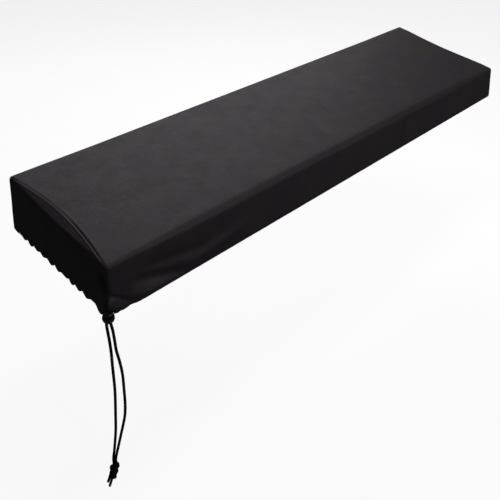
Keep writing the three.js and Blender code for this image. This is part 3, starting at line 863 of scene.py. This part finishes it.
def make_main_panel(material):
    places = along_columns()
    rows = main_rows()
    at, normal, bulge = [], [], []
    for part, share in rows:
        y, z = main_row_places(part, share, places)
        start = seam_of_main(part, share, y, True) - SEAM_OVERLAP / 2
        end = LENGTH - seam_of_main(part, share, y, False) + SEAM_OVERLAP / 2
        x = lerp(start, end, places / LENGTH)
        row_at, row_normal = on_cover(x, y, z)
        at.append(row_at)
        normal.append(row_normal)
        strength = main_seam_strength(part, y)
        relief = seam_relief(x - start, strength) + seam_relief(end - x, strength)
        hem = hem_bulge(share) if part.endswith("lip") else 0.0
        bulge.append(relief + hem)
    at, normal, bulge = np.array(at), np.array(normal), np.array(bulge)
    down = arc_length(at)[:, len(places) // 2]
    uv = np.stack(np.broadcast_arrays(places[None, :], down[:, None]), -1)
    return cloth_mesh("cover_top_cloth", at, normal, bulge, uv, material)


def end_rows():
    """An end panel's rows from its hem to the bowed seam: (part, share)."""
    rows = even_rows("lip", 1, 0, LIP_ROWS)
    rows += [("fold", share) for share in FOLD_SHARES]
    rows += even_rows("wall", 0, 1, END_ROWS["wall"])
    rows += even_rows("roll", 0, 1, END_ROWS["roll"])[1:]
    return rows


def end_shares():
    return np.linspace(0, 1, round(DEPTH / END_STEP) + 1)


def end_row_places(part, share, t, left):
    """Sharp-box inset from the end, y and z of one row of an end panel, at shares t."""
    half_lap = SEAM_OVERLAP / 2
    if part in ("lip", "fold"):
        depth = lip_depth(t * DEPTH) if left else np.full_like(t, LIP)
        inset = lerp(FOLD_RADIUS, depth, share) if part == "lip" else FOLD_RADIUS * share + 0 * t
        full = lerp(FOLD_RADIUS, LIP, share) if part == "lip" else FOLD_RADIUS * share
        opened = 0.0
        if left and part == "lip":
            opened = MOUTH_RETREAT["end"] * smooth(share, MOUTH_FROM, MOUTH_FULL)
        return inset, lerp(inset - half_lap + opened, DEPTH - full + half_lap, t), 0 * t
    y = clip(t * DEPTH, -half_lap, DEPTH + half_lap)
    roll_start = NOMINAL_HEIGHT - end_roll(y)
    if part == "wall":
        return 0 * t, y, lerp(FOLD_RADIUS, roll_start, share)
    path = lerp(roll_start, NOMINAL_HEIGHT + seam_inset(y) + half_lap, share)
    return np.maximum(path - NOMINAL_HEIGHT, 0), y, np.minimum(path, NOMINAL_HEIGHT)


def make_end_panel(left, material):
    t = end_shares()
    at, normal, bulge = [], [], []
    for part, share in end_rows():
        inset, y, z = end_row_places(part, share, t, left)
        x = inset if left else LENGTH - inset
        row_at, row_normal = on_cover(x, y, z)
        at.append(row_at)
        normal.append(row_normal)
        front_relief = seam_relief(y - y[0], CORNER_SEAM_SHARE)
        back_relief = seam_relief(y[-1] - y, CORNER_SEAM_SHARE)
        hem = hem_bulge(share) if part == "lip" else 0.0
        bulge.append(front_relief + back_relief + hem)
    at, normal, bulge = np.array(at), np.array(normal), np.array(bulge)
    down = arc_length(at)
    to_seam = down[-1] - down
    bulge += seam_relief(to_seam, top_seam_strength(t * DEPTH))
    uv = np.stack([np.broadcast_to(t * DEPTH, down.shape), down[:, [len(t) // 2] * len(t)]], -1)
    if left:
        at, normal, bulge, uv = at[:, ::-1], normal[:, ::-1], bulge[:, ::-1], uv[:, ::-1]
    name = "cover_end_left_cloth" if left else "cover_end_right_cloth"
    return cloth_mesh(name, at, normal, bulge, uv, material)


# ---- stitching
def proud(at, normal, relief):
    """Points of the cloth's face, moved out to where a thread lies on its relief."""
    return at + normal * (relief + STITCH_LIFT)[..., None]


def seam_stitch_line(left):
    """Beside an end's seam on the main panel: up the front corner, over and down the back."""
    line = []
    for part, share in main_rows():
        if part.endswith("lip"):
            continue
        y, z = main_row_places(part, share, np.array([0.0 if left else LENGTH]))
        inset = seam_of_main(part, share, y, left) + STITCH_FROM_SEAM
        at, normal = on_cover(inset if left else LENGTH - inset, y, z)
        relief = seam_relief(STITCH_FROM_SEAM, main_seam_strength(part, y))
        line.append(proud(at, normal, relief)[0])
    return np.array(line)


def hem_stitch_lines():
    """Round the underside, where the drawstring's channel is sewn down."""
    share = HEM_STITCH_SHARE
    places = along_columns()
    lines = []
    for part in ("front_lip", "back_lip"):
        y, z = main_row_places(part, share, places)
        start = seam_of_main(part, share, y, True)
        end = LENGTH - seam_of_main(part, share, y, False)
        at, normal = on_cover(lerp(start, end, places / LENGTH), y, z)
        lines.append(proud(at, normal, hem_bulge(share) + 0 * y))
    for left in (True, False):
        inset, y, z = end_row_places("lip", share, end_shares(), left)
        at, normal = on_cover(inset if left else LENGTH - inset, y, z)
        lines.append(proud(at, normal, hem_bulge(share) + 0 * y))
    return lines


def stitch_tree(material):
    """Lays one short thread at an even pitch along a line, for the modifier's inputs."""
    tree = bpy.data.node_groups.new("stitch_row", "GeometryNodeTree")
    face = tree.interface
    face.new_socket("Geometry", in_out="INPUT", socket_type="NodeSocketGeometry")
    for name in ("Pitch", "Length", "Radius"):
        face.new_socket(name, in_out="INPUT", socket_type="NodeSocketFloat")
    face.new_socket("Geometry", in_out="OUTPUT", socket_type="NodeSocketGeometry")
    given = tree.nodes.new("NodeGroupInput")
    result = tree.nodes.new("NodeGroupOutput")
    curve = tree.nodes.new("GeometryNodeMeshToCurve")
    points = tree.nodes.new("GeometryNodeCurveToPoints")
    points.mode = "LENGTH"
    thread = tree.nodes.new("GeometryNodeMeshUVSphere")
    set_inputs(thread, {"Segments": STITCH_SIDES, "Rings": STITCH_RINGS, "Radius": 1.0})
    size = tree.nodes.new("ShaderNodeCombineXYZ")
    lay = tree.nodes.new("GeometryNodeInstanceOnPoints")
    real = tree.nodes.new("GeometryNodeRealizeInstances")
    paint = tree.nodes.new("GeometryNodeSetMaterial")
    paint.inputs["Material"].default_value = material
    for source, output, target, socket in (
        (given, "Geometry", curve, "Mesh"),
        (curve, "Curve", points, "Curve"),
        (given, "Pitch", points, "Length"),
        (given, "Radius", size, "X"),
        (given, "Radius", size, "Y"),
        (given, "Length", size, "Z"),
        (points, "Points", lay, "Points"),
        (points, "Rotation", lay, "Rotation"),
        (thread, "Mesh", lay, "Instance"),
        (size, "Vector", lay, "Scale"),
        (lay, "Instances", real, "Geometry"),
        (real, "Geometry", paint, "Geometry"),
        (paint, "Geometry", result, "Geometry"),
    ):
        tree.links.new(source.outputs[output], target.inputs[socket])
    return tree


def make_stitches(lines, material):
    """Every stitching line of the cover as one baked mesh."""
    points, edges = [], []
    for line in lines:
        first = len(points)
        points += (line * MM).tolist()
        edges += [(first + i, first + i + 1) for i in range(len(line) - 1)]
    mesh = bpy.data.meshes.new("stitch_lines")
    mesh.from_pydata(points, edges, [])
    stitches = add_object("cover_stitches", mesh)
    modifier = stitches.modifiers.new("stitch_row", "NODES")
    modifier.node_group = stitch_tree(material)
    sizes = {"Pitch": STITCH_PITCH, "Length": STITCH_LENGTH / 2, "Radius": STITCH_RADIUS}
    for item in modifier.node_group.interface.items_tree:
        if item.name in sizes:
            modifier[item.identifier] = sizes[item.name] * MM
    bake(stitches)
    return stitches


# ---- cords
def smooth_route(points, step):
    """A centripetal Catmull-Rom curve through the points, at even steps along it."""
    points = np.array(points, float)
    first = 2 * points[0] - points[1]
    last = 2 * points[-1] - points[-2]
    padded = np.vstack([first, points, last])
    fine = []
    for i in range(1, len(padded) - 2):
        p0, p1, p2, p3 = padded[i - 1:i + 3]
        t1 = np.linalg.norm(p1 - p0) ** 0.5
        t2 = t1 + np.linalg.norm(p2 - p1) ** 0.5
        t3 = t2 + np.linalg.norm(p3 - p2) ** 0.5
        for t in np.linspace(t1, t2, SPAN_POINTS, endpoint=False):
            a1 = (t1 - t) / t1 * p0 + t / t1 * p1
            a2 = (t2 - t) / (t2 - t1) * p1 + (t - t1) / (t2 - t1) * p2
            a3 = (t3 - t) / (t3 - t2) * p2 + (t - t2) / (t3 - t2) * p3
            b1 = (t2 - t) / t2 * a1 + t / t2 * a2
            b2 = (t3 - t) / (t3 - t1) * a2 + (t - t1) / (t3 - t1) * a3
            fine.append((t2 - t) / (t2 - t1) * b1 + (t - t1) / (t2 - t1) * b2)
    fine.append(points[-1])
    fine = np.array(fine)
    run = np.concatenate([[0], np.cumsum(np.linalg.norm(np.diff(fine, axis=0), axis=1))])
    even = np.linspace(0, run[-1], max(2, round(run[-1] / step) + 1))
    return np.stack([np.interp(even, run, fine[:, k]) for k in range(3)], -1), run[-1]


def cord_tube(name, route, material):
    """A tube with rounded ends along an even route, with a map along and around it."""
    tangents = np.gradient(route, axis=0)
    tangents /= np.linalg.norm(tangents, axis=1, keepdims=True)
    across = np.cross(tangents[0], CORD_FIRST_SIDE)
    mesh = bmesh.new()
    layer = mesh.loops.layers.uv.new("cord")
    rings = []
    run = 0.0
    runs = []
    for i, (place, tangent) in enumerate(zip(route, tangents)):
        across = across - tangent * np.dot(across, tangent)
        across /= np.linalg.norm(across)
        other = np.cross(tangent, across)
        run += np.linalg.norm(route[i] - route[i - 1]) if i else 0.0
        runs.append(run * MM)
        ring = []
        for k in range(CORD_SIDES):
            angle = 2 * math.pi * k / CORD_SIDES
            offset = math.cos(angle) * across + math.sin(angle) * other
            ring.append(mesh.verts.new((place + offset * CORD_DIAMETER / 2) * MM))
        rings.append(ring)
    for i in range(len(rings) - 1):
        for k in range(CORD_SIDES):
            n = (k + 1) % CORD_SIDES
            corners = ((i, k, k), (i, n, k + 1), (i + 1, n, k + 1), (i + 1, k, k))
            face = mesh.faces.new([rings[row][column] for row, column, _ in corners])
            face.smooth = True
            for loop, (row, _, step) in zip(face.loops, corners):
                loop[layer].uv = (step / CORD_SIDES, runs[row])
    for ring, place, tangent, flip in (
        (rings[0], route[0], -tangents[0], True),
        (rings[-1], route[-1], tangents[-1], False),
    ):
        tip = mesh.verts.new((place + tangent * CORD_TIP_SHARE * CORD_DIAMETER) * MM)
        for k in range(CORD_SIDES):
            pair = (ring[k], ring[(k + 1) % CORD_SIDES])
            face = mesh.faces.new((*(pair[::-1] if flip else pair), tip))
            face.smooth = True
    tube = add_from_bmesh(name, mesh)
    tube.data.materials.append(material)
    return tube


def knot_place(side, up, deep=0.0):
    return at_tie(KNOT_AT[0] + deep, KNOT_AT[1] + side, KNOT_AT[2] + up)


def make_strand(name, material):
    """One strand from the hem to its cut end: the tube, its route and length in metres."""
    places = [at_tie(*place) for place in STRANDS[name]]
    places += [knot_place(*place) for place in THROUGH_KNOT[name]]
    route, length = smooth_route(places, CORD_STEP)
    return cord_tube(name, route, material), route * MM, length * MM


def make_knot(material):
    """The turns of the overhand knot, two cords side by side in each."""
    shares = np.linspace(0, 1, KNOT_TURN_POINTS)
    ends = bell(shares, KNOT_TUCK["width"]) + bell(1 - shares, KNOT_TUCK["width"])
    tuck = 1 - KNOT_TUCK["share"] * ends
    parts = []
    for i, (middle, level, radius, lean, rise, turns, start) in enumerate(KNOT_TURNS):
        angle = math.radians(start) + 2 * math.pi * turns * shares
        side = middle + radius * tuck * np.cos(angle)
        deep = KNOT_DEPTH_SHARE * radius * tuck * np.sin(angle)
        up = level + lean * np.cos(angle) + rise * (shares - 0.5)
        for offset in (-0.5, 0.5):
            places = [
                knot_place(s, u + offset * CORD_DIAMETER, d) for s, u, d in zip(side, up, deep)
            ]
            route, _ = smooth_route(places, KNOT_STEP)
            parts.append(cord_tube(f"turn_{i}_{offset}", route, material))
    return join(parts, "cord_knot")


def join(parts, name):
    mesh = bmesh.new()
    for part in parts:
        mesh.from_mesh(part.data)
    joined = add_from_bmesh(name, mesh)
    joined.data.materials.append(parts[0].data.materials[0])
    for part in parts:
        bpy.data.objects.remove(part)
    return joined


# ---- cord lock
LOCK_PLACE = (
    Matrix.Translation(Vector(at_tie(*LOCK_AT) * MM))
    @ Matrix.Rotation(LOCK_TURN - math.pi / 4, 4, "Z")
    @ Matrix.Scale(MM, 4)
)


def lathe(name, profile, steps=ROUND_STEPS):
    """A closed turned solid about Z from (radius, z) points that start and end on the axis."""
    mesh = bmesh.new()
    angles = [2 * math.pi * k / steps for k in range(steps)]
    rings = []
    for radius, z in profile:
        if radius == 0:
            rings.append([mesh.verts.new((0, 0, z))] * steps)
            continue
        places = [(radius * math.cos(angle), radius * math.sin(angle), z) for angle in angles]
        rings.append([mesh.verts.new(place) for place in places])
    for low, high in zip(rings, rings[1:]):
        for k in range(steps):
            n = (k + 1) % steps
            corners = dict.fromkeys((low[k], low[n], high[n], high[k]))
            mesh.faces.new(list(corners))
    bmesh.ops.recalc_face_normals(mesh, faces=mesh.faces[:])
    return add_from_bmesh(name, mesh)


def cut(piece, cutter):
    """Takes the cutter out of the piece, and removes it."""
    modifier = piece.modifiers.new("cut", "BOOLEAN")
    modifier.operation = "DIFFERENCE"
    modifier.solver = "EXACT"
    modifier.object = cutter
    bake(piece)
    bpy.data.objects.remove(cutter)


def arc(radius, start, end, steps):
    """Points of (radius, z) on a circle about the origin, from start to end in degrees."""
    angles = [math.radians(lerp(start, end, i / steps)) for i in range(steps + 1)]
    return [(radius * math.cos(angle), radius * math.sin(angle)) for angle in angles]


def finish_lock_piece(piece, material):
    """Bevels the piece's sharp edges and puts it in its place."""
    bevel = piece.modifiers.new("bevel", "BEVEL")
    bevel.width = LOCK_BEVEL
    bevel.segments = 2
    bevel.limit_method = "ANGLE"
    bevel.angle_limit = LOCK_BEVEL_ANGLE
    bake(piece)
    piece.data.transform(LOCK_PLACE)
    piece.data.materials.clear()
    piece.data.materials.append(material)
    smooth_faces(piece.data, LOCK_SHARP_ANGLE)


def make_lock_body(material):
    """The lock's ball, with a bore for the button and two holes for the cord."""
    rim_angle = math.degrees(math.asin(LOCK_RIM_Z / LOCK_RADIUS))
    ball = arc(LOCK_RADIUS, -90, rim_angle, BALL_STEPS)
    ball[0] = (0, -LOCK_RADIUS)
    profile = [*ball, (BORE_RADIUS, LOCK_RIM_Z), (BORE_RADIUS, BORE_FLOOR_Z), (0, BORE_FLOOR_Z)]
    body = lathe("lock_ball", profile)
    rod = [(0, -HOLE_REACH), (HOLE_RADIUS, -HOLE_REACH), (HOLE_RADIUS, HOLE_REACH), (0, HOLE_REACH)]
    lying = Matrix.Rotation(math.pi / 2, 4, "X")
    for side in (-1, 1):
        hole = lathe("hole", rod, HOLE_STEPS)
        hole.data.transform(Matrix.Translation((side * HOLE_OFFSET, 0, 0)) @ lying)
        cut(body, hole)
    finish_lock_piece(body, material)
    return body


def make_lock_button(material):
    """The push button: its stem with the cord slot, and its dished, bevelled cap."""
    dish_radius = CAP["high_radius"] - CAP["dish_inset"]
    dish = [(dish_radius * s, CAP["rim"] - CAP["dish"] * (1 - s * s)) for s in DISH_SHARES]
    profile = [
        (0, PISTON_FLOOR_Z),
        (PISTON_RADIUS, PISTON_FLOOR_Z),
        (PISTON_RADIUS, CAP["underside"]),
        (CAP["low_radius"], CAP["underside"]),
        (CAP["low_radius"], CAP["underside"] + CAP["low_side"]),
        (CAP["high_radius"], CAP["rim"] - CAP["rim_drop"]),
        (CAP["high_radius"] - CAP["rim_inset"], CAP["rim"]),
        (dish_radius, CAP["rim"]),
        *dish,
        (0, CAP["rim"] - CAP["dish"]),
    ]
    button = lathe("lock_cap", profile)
    mesh = bmesh.new()
    bmesh.ops.create_cube(mesh, size=1)
    slot = add_from_bmesh("slot", mesh)
    slot.data.transform(
        Matrix.Translation((0, 0, (SLOT_Z[0] + SLOT_Z[1]) / 2))
        @ Matrix.Diagonal((2 * SLOT_HALF_WIDTH, 4 * PISTON_RADIUS, SLOT_Z[1] - SLOT_Z[0], 1))
    )
    cut(button, slot)
    finish_lock_piece(button, material)
    return button


# ---- stage
def add_area_light(name, place, target, size, power):
    data = bpy.data.lights.new(name, "AREA")
    data.shape = "RECTANGLE"
    data.size, data.size_y = size
    data.energy = power
    light = add_object(name, data)
    turn = (Vector(target) - Vector(place)).to_track_quat("-Z", "Y").to_matrix()
    light.matrix_world = Matrix.Translation(place) @ turn.to_4x4()


def add_stage():
    """The floor, the world's faint light and the lamps."""
    low = CAD_BOX[0][2] - FLOOR_BELOW
    mesh = bpy.data.meshes.new("floor")
    corners = [(-1, -1), (1, -1), (1, 1), (-1, 1)]
    places = [(FLOOR_REACH * x, FLOOR_REACH * y, low) for x, y in corners]
    mesh.from_pydata(places, [], [(0, 1, 2, 3)])
    mesh.materials.append(floor_panel())
    floor = add_object("floor", mesh)
    floor.visible_diffuse = False
    floor.visible_glossy = False
    world = bpy.data.worlds.new("studio")
    world.use_nodes = True
    backdrop = world.node_tree.nodes["Background"]
    backdrop.inputs["Color"].default_value = (1, 1, 1, 1)
    backdrop.inputs["Strength"].default_value = WORLD_STRENGTH
    bpy.context.scene.world = world
    for name, light in LIGHTS.items():
        add_area_light(name, **light)
    bpy.context.scene.view_settings.view_transform = "Standard"


# ---- the dressed cover
add_camera()

cord_material = braided_cord()
knot = make_knot(cord_material)
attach(knot, "cover")
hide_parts("drawstring_knot")
for strand_name, node in STRAND_NODES.items():
    strand, strand_path, strand_length = make_strand(strand_name, cord_material)
    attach(strand, "cover")
    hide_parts(node)

plastic = moulded_plastic()
lock_body = make_lock_body(plastic)
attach(lock_body, "cover")
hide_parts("lock_body")
lock_button = make_lock_button(plastic)
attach(lock_button, "lock_button")
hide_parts("lock_button")

cloth_material = knit_cloth()
main_panel = make_main_panel(cloth_material)
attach(main_panel, "cover")
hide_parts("main_panel")
for is_left, node in ((True, "end_left"), (False, "end_right")):
    end_panel = make_end_panel(is_left, cloth_material)
    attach(end_panel, "cover")
    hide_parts(node)
stitch_lines = [seam_stitch_line(True), seam_stitch_line(False)] + hem_stitch_lines()
stitches = make_stitches(stitch_lines, hem_thread())
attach(stitches, "cover")

add_stage()
